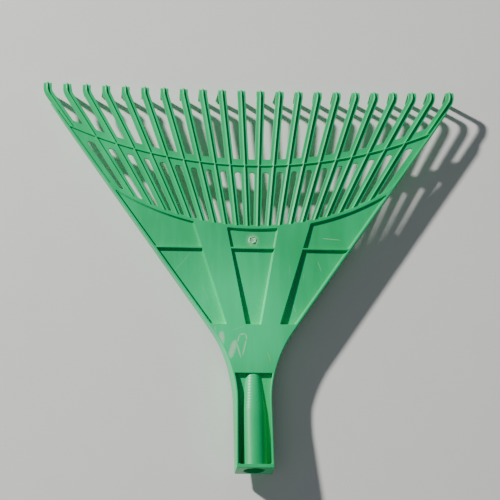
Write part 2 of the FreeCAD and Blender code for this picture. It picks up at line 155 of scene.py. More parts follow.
# ---- handle socket
SOCKET_PITCH = 6.0
SOCKET_LENGTH = 114.0
SOCKET_DEPTH = 31.5
TUBE_RADIUS = 15.5
BORE_RADIUS = 12.5
TUBE_STRAIGHT = 71.0
NOSE_RADIUS = 10.2
NOSE_PAST_NECK = 3.0
NOSE_RISE = 4.2
WEB_RISE = 9.0
BORE_TAPER = 38.0
BORE_END_RADIUS = 5.5
END_WALL = 4.5
WALL_FLARE_PAST_MOUTH = 10.0
SQUARE_START_Y = -20.0
SQUARE_RUN = 60.0
TUBE_RINGS = 48
TUBE_RIPPLE = 0.07
SPOKES = 72


# ---- small helpers

def pitched(y, z):
    """Fan (y, z) of a point of the socket, which is drawn level behind the neck's end."""
    angle = math.radians(SOCKET_PITCH)
    back = NECK_END_Y - y
    return (NECK_END_Y - back * math.cos(angle) + z * math.sin(angle),
            back * math.sin(angle) + z * math.cos(angle))


MOUTH_Y = NECK_END_Y - SOCKET_LENGTH
ORIGIN_Y, ORIGIN_Z = pitched(MOUTH_Y, -SOCKET_DEPTH / 2)


def row(x, y, z):
    return Vector((x, y - ORIGIN_Y, z - ORIGIN_Z)) / 1000


def from_socket(x, y, z):
    return row(x, *pitched(y, z))


def unit(start, end):
    length = math.hypot(end[0] - start[0], end[1] - start[1])
    return ((end[0] - start[0]) / length, (end[1] - start[1]) / length)


def along(point, direction, distance):
    return (point[0] + direction[0] * distance, point[1] + direction[1] * distance)


def sideways(point, direction, distance):
    """A point moved square off a direction, to its right if positive."""
    return (point[0] + direction[1] * distance, point[1] - direction[0] * distance)


def lerp(a, b, share):
    return a + (b - a) * share


def line_x(line, y):
    (x0, y0), (x1, y1) = line
    return x0 + (x1 - x0) * (y - y0) / (y1 - y0)


def meet_circle(point, direction, centre_y, radius):
    """Where a line going north first meets a circle centred on the Y axis."""
    b = point[0] * direction[0] + (point[1] - centre_y) * direction[1]
    c = point[0] ** 2 + (point[1] - centre_y) ** 2 - radius ** 2
    return along(point, direction, -b - math.sqrt(b * b - c))


def meet_lines(p, u, q, v):
    """Where the line through p along u meets the line through q along v."""
    cross = u[0] * v[1] - u[1] * v[0]
    return along(p, u, ((q[0] - p[0]) * v[1] - (q[1] - p[1]) * v[0]) / cross)


def circle_points(centre_y, radius, x_start, x_end, count):
    """Points on the south side of a circle centred on the Y axis."""
    a, b = math.asin(x_start / radius), math.asin(x_end / radius)
    angles = [lerp(a, b, i / count) for i in range(count + 1)]
    return [(radius * math.sin(t), centre_y - radius * math.cos(t)) for t in angles]


# ---- outlines

def rounded(corners, steps=6):
    """A closed outline from (x, y, corner radius) points, with an arc at each corner."""
    outline = []
    for i, (x, y, radius) in enumerate(corners):
        here, before, after = (x, y), corners[i - 1][:2], corners[(i + 1) % len(corners)][:2]
        u, w = unit(here, before), unit(here, after)
        half = math.acos(max(-1, min(1, u[0] * w[0] + u[1] * w[1]))) / 2
        if radius <= 0 or half > math.radians(88):
            outline.append(here)
            continue
        shorter = min(math.dist(here, before), math.dist(here, after))
        tangent = min(radius / math.tan(half), 0.47 * shorter)
        radius = tangent * math.tan(half)
        middle = unit((0, 0), (u[0] + w[0], u[1] + w[1]))
        centre = along(here, middle, radius / math.sin(half))
        start, end = along(here, u, tangent), along(here, w, tangent)
        a = math.atan2(start[1] - centre[1], start[0] - centre[0])
        sweep = math.atan2(end[1] - centre[1], end[0] - centre[0]) - a
        sweep = (sweep + math.pi) % (2 * math.pi) - math.pi
        for step in range(steps + 1):
            angle = a + sweep * step / steps
            outline.append((centre[0] + radius * math.cos(angle),
                            centre[1] + radius * math.sin(angle)))
    return outline


def area(outline):
    pairs = zip(outline, outline[1:] + outline[:1])
    return sum(a[0] * b[1] - b[0] * a[1] for a, b in pairs) / 2


def shifted(outline, distance, least=0.6):
    """An outline moved to its own left by a distance, mitred at the corners."""
    moved = []
    for i, here in enumerate(outline):
        u = unit(outline[i - 1], here)
        w = unit(here, outline[(i + 1) % len(outline)])
        nx, ny = -(u[1] + w[1]), u[0] + w[0]
        scale = distance * 2 / max(nx * nx + ny * ny, least)
        moved.append((here[0] + nx * scale, here[1] + ny * scale))
    return moved


# ---- meshes

def add_mesh(name, vertices, faces, sharp_angle=38):
    """A new mesh object. Vertices are in the frame's metres."""
    mesh = bpy.data.meshes.new(name)
    mesh.from_pydata([tuple(v) for v in vertices], [], faces)
    work = bmesh.new()
    work.from_mesh(mesh)
    bmesh.ops.remove_doubles(work, verts=work.verts, dist=1e-6)
    bmesh.ops.dissolve_degenerate(work, edges=work.edges, dist=1e-7)
    bmesh.ops.recalc_face_normals(work, faces=work.faces)
    work.to_mesh(mesh)
    work.free()
    mesh.shade_smooth()
    mesh.set_sharp_from_angle(angle=math.radians(sharp_angle))
    piece = bpy.data.objects.new(name, mesh)
    bpy.context.scene.collection.objects.link(piece)
    weighted = piece.modifiers.new("weighted normals", "WEIGHTED_NORMAL")
    weighted.keep_sharp = True
    return piece


def skin(rings, closed=False):
    """Vertices and faces of a skin over rings of equal count, capped at both ends."""
    count = len(rings[0])
    vertices = [v for ring in rings for v in ring]
    faces = []
    for i in range(len(rings) - (0 if closed else 1)):
        a, b = i * count, (i + 1) % len(rings) * count
        for j in range(count):
            k = (j + 1) % count
            faces.append((a + j, a + k, b + k, b + j))
    if not closed:
        faces.append(tuple(reversed(range(count))))
        faces.append(tuple(range(len(vertices) - count, len(vertices))))
    return vertices, faces


def plate(name, outlines, low, high, place=row, edge=EDGE_ROUND):
    """A flat plate with holes and rounded edges. The first outline is the outer one."""
    quarter = [math.radians(a) for a in (0, 30, 60, 90)]
    levels = [(edge * (1 - math.sin(a)), high - edge * (1 - math.cos(a))) for a in quarter]
    levels += [(d, low + high - z) for d, z in reversed(levels)]
    vertices, faces, caps = [], [], [[], []]
    for number, outline in enumerate(outlines):
        outline = outline if (area(outline) > 0) == (number == 0) else outline[::-1]
        rings = [[(x, y, z) for x, y in shifted(outline, d)] for d, z in levels]
        first = len(vertices)
        points, sides = skin(rings)
        vertices += points
        faces += [tuple(first + i for i in face) for face in sides[:-2]]
        for cap, ring_start in zip(caps, (first, first + len(points) - len(outline))):
            cap.append(list(range(ring_start, ring_start + len(outline))))
    for loops in caps:
        order = [i for loop in loops for i in loop]
        flat = [[Vector((*vertices[i][:2], 0)) for i in loop] for loop in loops]
        faces += [tuple(order[i] for i in triangle) for triangle in tessellate_polygon(flat)]
    return add_mesh(name, [place(*v) for v in vertices], faces)


def corner_arc(x, y, radius, start, end, steps=3):
    angles = [math.radians(lerp(start, end, i / steps)) for i in range(steps + 1)]
    return [(x + radius * math.cos(a), y + radius * math.sin(a)) for a in angles]


def rib_section(top, bottom):
    """Outline of a drafted rib with a rounded top and a small fillet at its foot."""
    r, foot = RIB_TOP_ROUND, RIB_FOOT
    right = [(RIB_HALF_BASE + foot, bottom), (RIB_HALF_BASE + foot, SHEET_TOP - CLEAR)]
    right += [(RIB_HALF_BASE + foot * 0.3, SHEET_TOP + foot * 0.3),
              (RIB_HALF_BASE, SHEET_TOP + foot)]
    right += corner_arc(RIB_HALF_TOP - r, top - r, r, 0, 90)
    return right + [(-u, v) for u, v in reversed(right)]


def ribbon(name, path, section):
    """A section carried level along a plan path."""
    rings = []
    for i, here in enumerate(path):
        u = unit(path[max(i - 1, 0)], path[min(i + 1, len(path) - 1)])
        rings.append([row(*sideways(here, u, across), z) for across, z in section])
    return add_mesh(name, *skin(rings))


def join(name, pieces):
    """One object from several separate closed pieces."""
    work = bmesh.new()
    for piece in pieces:
        work.from_mesh(piece.data)
    pieces[0].data.clear_geometry()
    work.to_mesh(pieces[0].data)
    work.free()
    for piece in pieces[1:]:
        bpy.data.objects.remove(piece)
    pieces[0].name = name
    pieces[0].data.name = name
    return pieces[0]


# ---- lines that everything hangs on, by tine number from 1 on the left to 22 on the right

HINGES = {}
for joint in frame["joints"]:
    number = int(joint["child"][-2:])
    x, y = joint["pos_m"][0] * 1000, joint["pos_m"][1] * 1000 + ORIGIN_Y
    HINGES[number] = ((x, y), (-joint["axis"][1], joint["axis"][0]))


def blade_line(number):
    """The hinge's plan point and the blade's direction, which points to the tips."""
    return HINGES[number]


def tip_x(number):
    return (number - (TINES + 1) / 2) * TIP_PITCH


def crossing(number):
    """Where the blade's line leaves the middle of the crossbar, found back from its hinge."""
    hinge, direction = blade_line(number)
    return meet_circle(along(hinge, direction, -60), direction, BAR_CENTRE_Y, BAR_RADIUS)


def root_direction(number):
    return unit((0, 0), crossing(number))


def root_edge(number, side):
    """Start point and direction of a root's edge, on its right if side is 1."""
    if number in (1, TINES) and side == (1 if number == 1 else -1):
        inner = WALL / 2 + EDGE_ROOT_WIDTH
        (x0, y0), (x1, y1) = rail_point(200, -inner), rail_point(300, -inner)
        sign = -1 if number == 1 else 1
        return (sign * x0, y0), unit((sign * x0, y0), (sign * x1, y1))
    direction, reach = root_direction(number), math.hypot(*crossing(number))
    grow = (ROOT_WIDTH_AT_BAR - ROOT_WIDTH_AT_ARC) / (reach * (1 - ARC_SHARE))
    start = reach * ARC_SHARE - 60
    half_start = (ROOT_WIDTH_AT_BAR - grow * (reach - start)) / 2
    a = sideways(along((0, 0), direction, start), direction, side * half_start)
    b = sideways(along((0, 0), direction, reach), direction, side * ROOT_WIDTH_AT_BAR / 2)
    return a, unit(a, b)


# ---- side wall path, right-hand side

RAIL = unit(RAIL_START, RAIL_END)


def rail_point(y, offset=0.0):
    """A point of the rail's centre line at y, moved square outward by offset."""
    x = RAIL_START[0] + (y - RAIL_START[1]) * RAIL[0] / RAIL[1]
    return sideways((x, y), RAIL, offset)


def wall_stations():
    """Plan points of the side wall's centre line and its direction, from mouth to fade."""
    rail_angle = math.atan2(RAIL[0], RAIL[1])
    corner_y = RAIL_START[1] - (RAIL_START[0] - SOCKET_HALF_WIDTH) * RAIL[1] / RAIL[0]
    radius = NECK_TANGENT / math.tan(rail_angle / 2)
    centre = (SOCKET_HALF_WIDTH + radius, corner_y - NECK_TANGENT)
    flare_start = (MOUTH_HALF_WIDTH, MOUTH_Y - WALL_FLARE_PAST_MOUTH)
    socket_end = (SOCKET_HALF_WIDTH, centre[1])
    side = unit(flare_start, socket_end)
    stations = [(along(flare_start, side, WALL_FLARE_PAST_MOUTH + d), side)
                for d in (1.2, 1.7, 4, 12, 25, 40, 55, 70, 80)]
    for i in range(17):
        angle = rail_angle * i / 16
        point = (centre[0] - radius * math.cos(angle), centre[1] + radius * math.sin(angle))
        stations.append((point, (math.sin(angle), math.cos(angle))))
    rail_ys = [lerp(stations[-1][0][1], RIM_FADE_START_Y - 16, i / 10) for i in range(1, 11)]
    rail_ys += [RIM_FADE_START_Y - 16 + 2 * i for i in range(1, 13)]
    rail_ys += [RIM_FADE_Y - 1.0, RIM_FADE_Y - 0.4]
    return stations + [(rail_point(y), RAIL) for y in sorted(rail_ys)]


def wall_levels(y):
    """Top and bottom of the side wall at a plan y."""
    slope = math.tan(math.radians(SOCKET_PITCH))
    knee_y, knee_z = pitched(NECK_END_Y, -SOCKET_DEPTH)
    fade = max(0.0, (y - RIM_FADE_START_Y) / (RIM_FADE_Y - RIM_FADE_START_Y))
    top = (NECK_END_Y - y) * slope if y < NECK_END_Y else lerp(0, SHEET_TOP, min(fade, 1))
    if y < knee_y:
        bottom = knee_z + (knee_y - y) * slope
    elif y < PLATE_START_Y:
        share = (y - knee_y) / (PLATE_START_Y - knee_y)
        bottom = lerp(knee_z, -RIM_DEPTH_AT_NECK, share)
    elif y < RAIL_END[1]:
        share = (y - PLATE_START_Y) / (RAIL_END[1] - PLATE_START_Y)
        bottom = lerp(-RIM_DEPTH_AT_NECK, -RIM_DEPTH_AT_BAR, share)
    else:
        share = (y - RAIL_END[1]) / (RIM_FADE_Y - RAIL_END[1])
        bottom = lerp(-RIM_DEPTH_AT_BAR, SHEET_BOTTOM, share)
    return top, bottom


def pocket_floor(y):
    share = (y - PLATE_START_Y) / (STRAP_INNER[1][1] - PLATE_START_Y)
    return -lerp(PANEL_DEPTH_AT_NECK, PANEL_DEPTH_AT_ARC, share)


# ---- pieces

def side_wall(side_name, sign):
    """Drafted wall beside the socket, round the neck and up the fan's edge as a rail."""
    slope = math.tan(math.radians(WALL_DRAFT))
    lean = math.tan(math.radians(SOCKET_PITCH))
    stations = wall_stations()
    flare_start = MOUTH_Y - WALL_FLARE_PAST_MOUTH
    arc_start = next(p[1] for p, d in stations if d == (0.0, 1.0))
    rings = []
    for index, (point, direction) in enumerate(stations):
        top, bottom = wall_levels(point[1])
        draft = slope * min(1.0, (point[1] - flare_start) / (arc_start - flare_start))
        trim = 0.5 if index in (0, len(stations) - 1) else 0.0
        top, bottom, r = top - trim, bottom + trim, WALL_ROUND
        inner = -WALL / 2 + trim
        outer = WALL / 2 - trim - r
        corners = [(inner + r, bottom + r, 180), (outer - bottom * draft, bottom + r, 270),
                   (outer - top * draft, top - r, 0), (inner + r, top - r, 90)]
        # behind the neck the sections turn square to the pitched socket
        square = min(1.0, max(0.0, (SQUARE_START_Y - point[1]) / SQUARE_RUN))
        ring = []
        for offset, z, start in corners:
            for across, height in corner_arc(offset, z, r, start, start + 90):
                x, y = sideways(point, direction, across)
                ring.append(row(sign * x, y - (top - height) * lean * square, height))
        rings.append(ring)
    wall = add_mesh("side_wall_and_rail_" + side_name, *skin(rings))
    flex(wall)
    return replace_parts(wall, "side_wall_" + side_name, "side_rail_" + side_name)


def flex(piece):
    """Bakes a piece's placement into its mesh."""
    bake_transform(piece)


def blade_section(half, rib_height):
    """Outline of a blade: a flat strip with a rib along it, u across and v up from its back."""
    thick = SHEET_TOP - SHEET_BOTTOM + CLEAR
    r, foot, tip = EDGE_ROUND, RIB_FOOT, RIB_TOP_ROUND
    full = -SHEET_TOP
    grow = rib_height / full
    section = corner_arc(-half + r, r, r, 180, 270) + corner_arc(half - r, r, r, 270, 360)
    section += corner_arc(half - r, thick - r, r, 0, 90)
    rib = [(RIB_HALF_BASE + foot, 0), (RIB_HALF_BASE + foot * 0.3, foot * 0.3), (RIB_HALF_BASE, foot)]
    rib += corner_arc(RIB_HALF_TOP - tip, full - tip - CLEAR, tip, 0, 90)
    rib += [(-u, v) for u, v in reversed(rib)]
    section += [(u, thick + v * grow) for u, v in rib]
    return section + corner_arc(-half + r, thick - r, r, 90, 180)


def blade_plan(number):
    """Plan points and directions of a blade, from inside the crossbar to its bend."""
    sign = 1 if number > TINES_PER_SIDE else -1
    hinge, direction = blade_line(number)
    turn = (tip_x(number), BLADE_TURN_Y)
    angle = math.atan2(sign * direction[0], direction[1])
    tangent = BLADE_TURN_RADIUS * math.tan(angle / 2)
    start = along(crossing(number), direction, BLADE_EMBED)
    bend_zone = math.dist(start, hinge) - 2
    length = math.dist(start, along(turn, direction, -tangent))
    distances = [0.0]
    while distances[-1] < length - 4:
        step = 2.0 if bend_zone < distances[-1] < bend_zone + BLEND_AFTER + 4 else 8.0
        distances.append(min(distances[-1] + step, length - 2))
    stations = [(along(start, direction, d), direction) for d in distances]
    centre = (turn[0] - sign * BLADE_TURN_RADIUS, turn[1] + tangent)
    for i in range(7):
        a = angle * (1 - i / 6)
        point = (centre[0] + sign * BLADE_TURN_RADIUS * math.cos(a),
                 centre[1] - BLADE_TURN_RADIUS * math.sin(a))
        stations.append((point, (sign * math.sin(a), math.cos(a))))
    return stations


def tine(number):
    """Free blade, bent down at the end into a claw that leans a little one way or another."""
    half_bar, half_tip = BLADE_WIDTH / 2 + CLEAR, BLADE_WIDTH / 2
    plan = blade_plan(number)
    x = tip_x(number)
    bend_y = BEND_START_Y + TIP_LINE_RISE * (x / tip_x(TINES)) ** 2
    total = len(plan) - 1
    rings = []
    for i, (point, direction) in enumerate(plan):
        half = lerp(half_bar, half_tip, min(1.0, i / (total - 6)))
        section = blade_section(half, -SHEET_TOP)
        rings.append([row(*sideways(point, direction, u), SHEET_BOTTOM + v - CLEAR / 2)
                      for u, v in section])
    lean = CLAW_LEAN.get(number, noise.noise(Vector((number * 7.3, 0.5, 0))) * 1.2)
    axis_z = SHEET_BOTTOM - BEND_INNER_RADIUS
    bends = [(BEND_ANGLE * i / 14, 0.0) for i in range(15)]
    claw_corner = CLAW_LENGTH - CLAW_CORNER_RADIUS
    fade = CLAW_RIB_FADE_START
    runs = [3, 8, 14, 19, fade, fade + 1, fade + 2, fade + 2.8, CLAW_RIB_LENGTH, claw_corner]
    runs += [claw_corner + CLAW_CORNER_RADIUS * math.sin(math.radians(a)) for a in (20, 40, 60, 80, 90)]
    for degrees, run in bends + [(BEND_ANGLE, run) for run in runs]:
        a = math.radians(degrees)
        half = lerp(half_tip, CLAW_END_WIDTH / 2, run / CLAW_LENGTH)
        if run > claw_corner:
            past = (run - claw_corner) / CLAW_CORNER_RADIUS
            half -= CLAW_CORNER_RADIUS * (1 - math.sqrt(max(0.0, 1 - past * past)))
        ending = max(0.0, (run - fade) / (CLAW_RIB_LENGTH - fade))
        rib = CLAW_RIB_HEIGHT * math.sqrt(max(0.0, 1 - min(ending, 1.0) ** 2))
        shift = lean * (run / CLAW_LENGTH) ** 1.5
        ring = []
        for u, v in blade_section(half, max(rib, 0.01)):
            reach = BEND_INNER_RADIUS + v - CLEAR / 2
            y = bend_y + reach * math.sin(a) + run * math.cos(a)
            z = axis_z + reach * math.cos(a) - run * math.sin(a)
            ring.append(row(x + u + shift, y, z))
        rings.append(ring)
    piece = add_mesh("tine_blade_%02d" % number, *skin(rings))
    flex(piece)
    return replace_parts(piece, "tine_%02d" % number)


def fan_sheet():
    """The flat web from the base arc to the crossbar, with rounded slots and blade stubs."""
    half = BLADE_WIDTH / 2 - CLEAR
    low = rail_point(250, -0.5)
    start = meet_circle(rail_point(150, -0.5), RAIL, ARC_CENTRE_Y, ARC_BURIED_RADIUS)
    outer = [(x, y, 0) for x, y in
             circle_points(ARC_CENTRE_Y, ARC_BURIED_RADIUS, -start[0], start[0], 48)]
    north = BAR_RADIUS - BAR_HALF_WIDTH
    for number in range(TINES, 0, -1):
        hinge, direction = blade_line(number)
        stub_end = along(hinge, direction, -0.4)
        square = (direction[1], -direction[0])
        right, left = (sideways(stub_end, direction, s * half) for s in (1, -1))
        if number == TINES:
            right = meet_lines(stub_end, square, low, RAIL)
        if number == 1:
            left = meet_lines(stub_end, square, (-low[0], low[1]), (-RAIL[0], RAIL[1]))
        for edge, present in ((right, number < TINES), (left, number > 1)):
            foot = meet_circle(along(edge, direction, -80), direction, BAR_CENTRE_Y, north)
            corners = [(*foot, NOTCH_RADIUS)] if present else []
            corners.append((*edge, 0))
            outer += corners if edge == right else corners[::-1]
    slots = []
    for number in range(1, TINES):
        corners = []
        for (point, direction), order in ((root_edge(number, 1), 1), (root_edge(number + 1, -1), -1)):
            base = meet_circle(point, direction, ARC_CENTRE_Y, ARC_SLOT_RADIUS)
            bar = meet_circle(point, direction, BAR_CENTRE_Y, BAR_RADIUS + BAR_HALF_WIDTH)
            pair = [(*base, SLOT_BASE_RADIUS), (*bar, SLOT_BAR_RADIUS)]
            corners += pair[::-1] if order == 1 else pair
        slots.append(rounded(corners))
    sheet = plate("fan_sheet", [rounded(outer)] + slots, SHEET_BOTTOM, SHEET_TOP, edge=0.4)
    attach(sheet, "head")
    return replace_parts(sheet, "base_arc", "crossbar", "tine_root_01", "tine_root_22")


def root_rib(number):
    """Rib along a root, over the crossbar and into the start of its blade."""
    _, direction = blade_line(number)
    meeting = crossing(number)
    far = along(meeting, direction, BLADE_EMBED + 1.5)
    if number in (1, TINES):
        path = [meeting, far]
    else:
        root = root_direction(number)
        near = meet_circle((0, 0), root, ARC_CENTRE_Y, ARC_RIB_RADIUS + 0.8)
        path = [near] + [along(meeting, root, -d) for d in (40, 4)]
        path += [along(meeting, direction, 1.5), far]
    rib = ribbon("root_rib_%02d" % number, path, rib_section(-CLEAR, SHEET_TOP - RIB_SINK))
    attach(rib, "head")
    if number not in (1, TINES):
        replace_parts(rib, "tine_root_%02d" % number)
    return rib


def crossbar_rib():
    edge_x = crossing(TINES)[0] + 4.0
    path = circle_points(BAR_CENTRE_Y, BAR_RADIUS, -edge_x, edge_x, 90)
    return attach(ribbon("crossbar_rib", path, rib_section(-3 * CLEAR, SHEET_TOP - RIB_SINK)), "head")


def pocket_outlines():
    """Right, centre and left pockets' corners, with the radius each is rounded to."""
    corner_x = []
    for line in (STRAP_INNER, STRAP_OUTER):
        corner_x.append(meet_circle(line[0], unit(*line), ARC_CENTRE_Y, ARC_PANEL_RADIUS)[0])
    rail = meet_circle(rail_point(PLATE_START_Y, -WALL / 2 - CLEAR), RAIL,
                       ARC_CENTRE_Y, ARC_PANEL_RADIUS)
    inner_rail = rail_point(PLATE_START_Y, -WALL / 2 - CLEAR)
    r = POCKET_CORNER

    def closed(start, points, end):
        inner = [(x, y, r if i in (0, len(points) - 1) else 0) for i, (x, y) in enumerate(points)]
        corners = [(*start, r)] + inner + [(*end, r)]
        return corners if area(corners) > 0 else corners[::-1]

    north = circle_points(ARC_CENTRE_Y, ARC_PANEL_RADIUS, corner_x[0], -corner_x[0], 14)
    centre = closed((-STRAP_INNER[0][0], PLATE_START_Y), north[::-1], (STRAP_INNER[0][0], PLATE_START_Y))
    north = circle_points(ARC_CENTRE_Y, ARC_PANEL_RADIUS, corner_x[1], rail[0], 20)
    right = closed((STRAP_OUTER[0][0], PLATE_START_Y), north, inner_rail)
    return right, centre, [(-x, y, radius) for x, y, radius in reversed(right)]


def neck_and_straps(pockets):
    """The flush face: neck plate, both straps and the base arc's rib, in one sheet."""
    wall = [p for p, _ in wall_stations()]
    stations = [p for p in wall if NECK_END_Y < p[1] < 200]
    for a, b in zip(wall, wall[1:]):
        if a[1] <= NECK_END_Y < b[1]:
            first = (lerp(a[0], b[0], (NECK_END_Y - a[1]) / (b[1] - a[1])), NECK_END_Y)
    far = meet_circle(rail_point(150), RAIL, ARC_CENTRE_Y, ARC_RIB_RADIUS)
    right = [first] + stations + [far]
    north = circle_points(ARC_CENTRE_Y, ARC_RIB_RADIUS, far[0], -far[0], 48)[1:-1]
    outline = right + north + [(-x, y) for x, y in reversed(right)]
    holes = [rounded(corners, steps=4) for corners in pockets]
    sheet = plate("neck_and_straps", [outline] + holes, -PLATE, 0.03)
    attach(sheet, "head")
    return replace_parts(sheet, "neck_plate", "strap_left", "strap_right")


def pocket_tray(name, corners, *nodes):
    """Sunk panel: a sloping floor with drafted walls up to the flush face."""
    fillet, lip = POCKET_FILLET, TRAY_LIP_Z

    def ring(distance, level):
        moved = shifted([corner[:2] for corner in corners], distance, least=0.05)
        radii = [max(radius - distance, 0.03) if radius else 0 for _, _, radius in corners]
        outline = rounded([(x, y, radius) for (x, y), radius in zip(moved, radii)], steps=4)
        return [row(x, y, level(y)) for x, y in outline]

    rings = [ring(POCKET_DRAFT + fillet + FLOOR_HOLDING_RING, pocket_floor)]
    for degrees in (90, 60, 30, 0):
        a = math.radians(degrees)
        rings.append(ring(POCKET_DRAFT + fillet * (1 - math.cos(a)),
                          lambda y, a=a: pocket_floor(y) + fillet * (1 - math.sin(a))))
    rings.append(ring(CLEAR, lambda y: lip))
    rings.append(ring(-POCKET_WALL, lambda y: lip))
    rings.append(ring(-POCKET_WALL, lambda y: pocket_floor(y) - PLATE + 0.4))
    rings.append(ring(-POCKET_WALL + 0.4, lambda y: pocket_floor(y) - PLATE))
    tray = add_mesh(name, *skin(rings))
    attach(tray, "head")
    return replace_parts(tray, *nodes)


def cross_rib_set():
    """Flush ribs across the three pockets."""
    outer = rail_point(CROSS_RIB_Y, -WALL / 2)[0] + 0.5
    inner = line_x(STRAP_OUTER, CROSS_RIB_Y) - 0.6
    middle = line_x(STRAP_INNER, CROSS_RIB_Y) + 0.6
    floor = pocket_floor(CROSS_RIB_Y)
    ribs = []
    for x_start, x_end in ((-outer, -inner), (-middle, middle), (inner, outer)):
        section = [(-1.7, floor - 0.5), (-1.7, floor), (-CROSS_RIB_HALF - 0.25, floor + 0.5)]
        section += corner_arc(-CROSS_RIB_HALF + 0.45, -0.45, 0.45, 180, 90)
        section += [(-a, z) for a, z in reversed(section)]
        path = [(lerp(x_start, x_end, i / 6), CROSS_RIB_Y) for i in range(7)]
        ribs.append(ribbon("cross_rib", path, section))
    ribs = join("cross_rib_set", ribs)
    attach(ribs, "head")
    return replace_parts(ribs, "cross_ribs")


def gate_mark():
    """Torn stub where the moulding's sprue was broken off the centre panel."""
    floor = pocket_floor(GATE_Y)
    spokes = 30
    foot = GATE_RADIUS * 1.05
    rings = [[row(foot * math.cos(t), GATE_Y + foot * math.sin(t), floor - 0.8)
              for t in [2 * math.pi * j / spokes for j in range(spokes)]]]
    for share in (1.0, 0.94, 0.86, 0.76, 0.66, 0.54, 0.4, 0.26, 0.12):
        ring = []
        for j in range(spokes):
            t = 2 * math.pi * j / spokes
            rough = noise.noise(Vector((math.cos(t) * share * 2.6, math.sin(t) * share * 2.6, 3.1)))
            fine = noise.noise(Vector((math.cos(t) * share * 7, math.sin(t) * share * 7, 9.4)))
            radius = GATE_RADIUS * share * (1 + 0.10 * rough)
            crown = GATE_CROWN_HEIGHT * math.exp(-((share - GATE_CROWN_SHARE) / 0.17) ** 2)
            height = 0.0 if share == 1.0 else 0.15 + crown * (0.8 + 1.1 * rough) + 0.28 * fine
            ring.append(row(radius * math.cos(t), GATE_Y + radius * math.sin(t), floor + height))
        rings.append(ring)
    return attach(add_mesh("gate_mark", *skin(rings), sharp_angle=25), "head")


def socket_tube():
    """Round tube with a ringed taper and a blind bore, open at the mouth."""
    knee, nose = MOUTH_Y + TUBE_STRAIGHT, NECK_END_Y + NOSE_PAST_NECK
    bore_end = knee + BORE_TAPER
    profile = [(MOUTH_Y, TUBE_RADIUS - 0.5), (MOUTH_Y + 0.5, TUBE_RADIUS)]
    profile += [(lerp(MOUTH_Y, knee, s), TUBE_RADIUS) for s in (0.2, 0.4, 0.6, 0.8, 0.97)]
    for i in range(TUBE_RINGS + 1):
        share = 0.94 * i / TUBE_RINGS
        ripple = TUBE_RIPPLE * math.sin(i * math.pi / 2 + 0.8) * min(1.0, 3 * share)
        profile.append((lerp(knee, nose, share), lerp(TUBE_RADIUS, NOSE_RADIUS, share) + ripple))
    profile += [(nose - 2.0, NOSE_RADIUS), (nose - 1.2, NOSE_RADIUS - 0.6),
                (nose - 0.4, NOSE_RADIUS - 1.6), (nose, NOSE_RADIUS - 2.4), (nose, 0.02)]
    outer = len(profile)
    profile += [(bore_end, 0.02), (bore_end, BORE_END_RADIUS - 0.4),
                (bore_end - 0.5, BORE_END_RADIUS)]
    profile += [(knee, BORE_RADIUS), (lerp(MOUTH_Y, knee, 0.5), BORE_RADIUS),
                (MOUTH_Y + 0.5, BORE_RADIUS), (MOUTH_Y, BORE_RADIUS + 0.5)]
    axis_z = -SOCKET_DEPTH / 2
    turns = [2 * math.pi * j / SPOKES for j in range(SPOKES)]
    rings = []
    for i, (y, r) in enumerate(profile):
        rise = NOSE_RISE * max(0.0, (y - knee) / (nose - knee)) if i < outer else 0.0
        rings.append([from_socket(r * math.cos(t), y, axis_z + rise + r * math.sin(t)) for t in turns])
    tube = add_mesh("handle_socket_tube", *skin(rings, closed=True), sharp_angle=30)
    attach(tube, "head")
    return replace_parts(tube, "socket_tube")


def socket_end_wall():
    """Wall across the mouth, round the tube; the small ribs in its two top corners come from
    corner_gussets.
    """
    top_half = MOUTH_HALF_WIDTH + WALL / 2 - 0.2
    bottom_half = MOUTH_HALF_WIDTH + WALL / 2
    outline = rounded([(-bottom_half, -SOCKET_DEPTH, 2.2), (bottom_half, -SOCKET_DEPTH, 2.2),
                       (top_half, 0, 0.9), (-top_half, 0, 0.9)])
    radius, axis_z = TUBE_RADIUS - 0.4, -SOCKET_DEPTH / 2
    hole = [(radius * math.cos(t), axis_z + radius * math.sin(t))
            for t in [2 * math.pi * j / SPOKES for j in range(SPOKES)]]
    wall = plate("socket_mouth_wall", [outline, hole], MOUTH_Y, MOUTH_Y + END_WALL,
                 place=lambda x, z, y: from_socket(x, y, z), edge=0.5)
    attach(wall, "head")
    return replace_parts(wall, "socket_end_wall")


def corner_gussets():
    """Small triangular fillets where the mouth wall meets each side wall."""
    gussets = []
    inner = MOUTH_HALF_WIDTH - WALL / 2
    start = MOUTH_Y + END_WALL
    for sign in (-1, 1):
        outline = [(sign * x, y, r) for x, y, r in
                   ((inner + 0.4, start - 0.5, 0), (inner + 0.4, start + 3.6, 0),
                    (inner - 0.5, start + 2.0, 0.8), (inner - 2.2, start + 0.6, 0.8),
                    (inner - 3.8, start - 0.5, 0))]
        gussets.append(plate("gusset", [rounded(outline)], -SOCKET_DEPTH / 2, -0.8, place=from_socket))
    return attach(join("socket_corner_gussets", gussets), "head")


